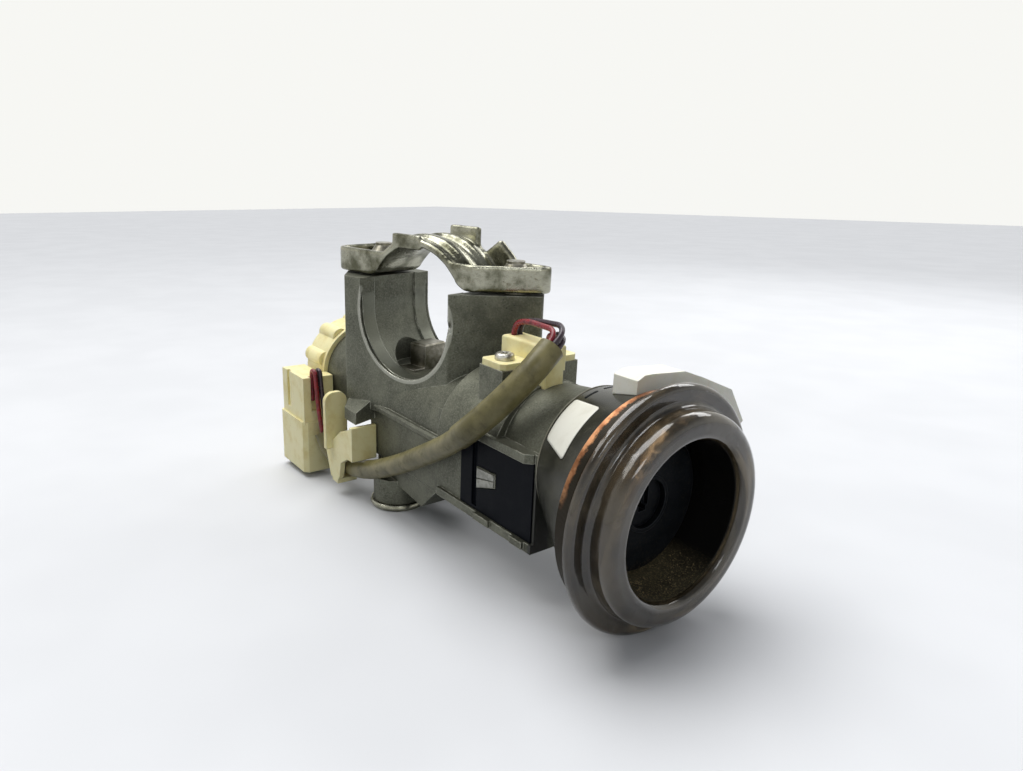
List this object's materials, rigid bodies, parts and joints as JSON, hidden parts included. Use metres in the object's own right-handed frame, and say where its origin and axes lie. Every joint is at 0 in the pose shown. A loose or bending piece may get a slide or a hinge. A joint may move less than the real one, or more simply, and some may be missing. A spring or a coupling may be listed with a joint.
{
  "type": "steering column ignition lock",
  "caption": "Cast steering column lock with clamp bracket, key cylinder, clear light ring, warning switch, ignition switch and clipped cable.",
  "frame": {"origin": "centre of the steering column seat, midway along it", "axes": "+Y along the steering column, +Z towards the clamp bracket, +X across the column to the side where the key cylinder leaves, its line turned 12.4 degrees towards -Y"},
  "size_m": [0.1863, 0.0868, 0.0969],
  "materials": {
    "cast_alloy": "satin",
    "plated_steel": "satin",
    "bolt_steel": "satin",
    "spring_steel": "satin",
    "brass": "satin",
    "copper": "satin",
    "dark_cap": "matte",
    "dark_drum": "satin",
    "smoky_clear": "gloss",
    "black_plastic": "matte",
    "cream_plastic": "satin",
    "white_plastic": "satin",
    "sleeve_vinyl": "satin",
    "red_wire": "gloss",
    "dark_wire": "gloss"
  },
  "bodies": {
    "housing": {"lock_body": "cast_alloy", "clamp_bracket": "plated_steel", "shear_bolts": "bolt_steel", "lock_bolt_spring": "spring_steel", "bottom_plug": "plated_steel", "cylinder_sleeve": "dark_cap", "antenna_housing": "dark_drum", "antenna_coil": "copper", "antenna_connector": "white_plastic", "antenna_terminals": "brass", "light_ring": "smoky_clear", "interlock_cover": "black_plastic", "interlock_coil": "copper", "key_switch": "cream_plastic", "key_switch_spring": "spring_steel", "key_switch_screws": "plated_steel", "ignition_switch": "cream_plastic", "connector_block": "cream_plastic", "connector_terminals": "brass", "cable_sleeve": "sleeve_vinyl", "cable_clip": "cream_plastic", "warning_wires_red": "red_wire", "warning_wires_dark": "dark_wire", "rear_wire_red": "red_wire", "rear_wire_dark": "dark_wire"},
    "key_train": {"cam_rotor": "cast_alloy", "key_plug": "dark_cap", "tumblers": "brass", "switch_rotor": "black_plastic", "switch_contacts": "copper"},
    "bolt": {"lock_bolt": "bolt_steel"},
    "feeler": {"key_switch_feeler": "cream_plastic"},
    "blocking_pin": {"interlock_pin": "bolt_steel"}
  },
  "joints": [
    {"name": "key_turn", "type": "hinge", "parent": "housing", "child": "key_train", "pos_m": [0, 0, -0.0318], "axis": [-0.9767, 0.2147, 0], "range_deg": [0, 120]},
    {"name": "bolt_slide", "type": "slide", "parent": "housing", "child": "bolt", "axis": [0, 0, 1], "range_m": [-0.007, 0], "deforming": ["lock_bolt_spring"]},
    {"name": "feeler_slide", "type": "slide", "parent": "housing", "child": "feeler", "axis": [0, 0, 1], "range_m": [0, 0.0012], "stiffness_N_per_m": 150, "springref_m": -0.001, "deforming": ["key_switch_spring"]},
    {"name": "blocking_pin_slide", "type": "slide", "parent": "housing", "child": "blocking_pin", "axis": [0.2147, 0.9767, 0], "range_m": [0, 0.0022], "stiffness_N_per_m": 120, "springref_m": -0.001}
  ],
  "couplings": [
    {"joint": "key_turn", "follows": "bolt_slide", "rad_per_m": -299.2}
  ]
}
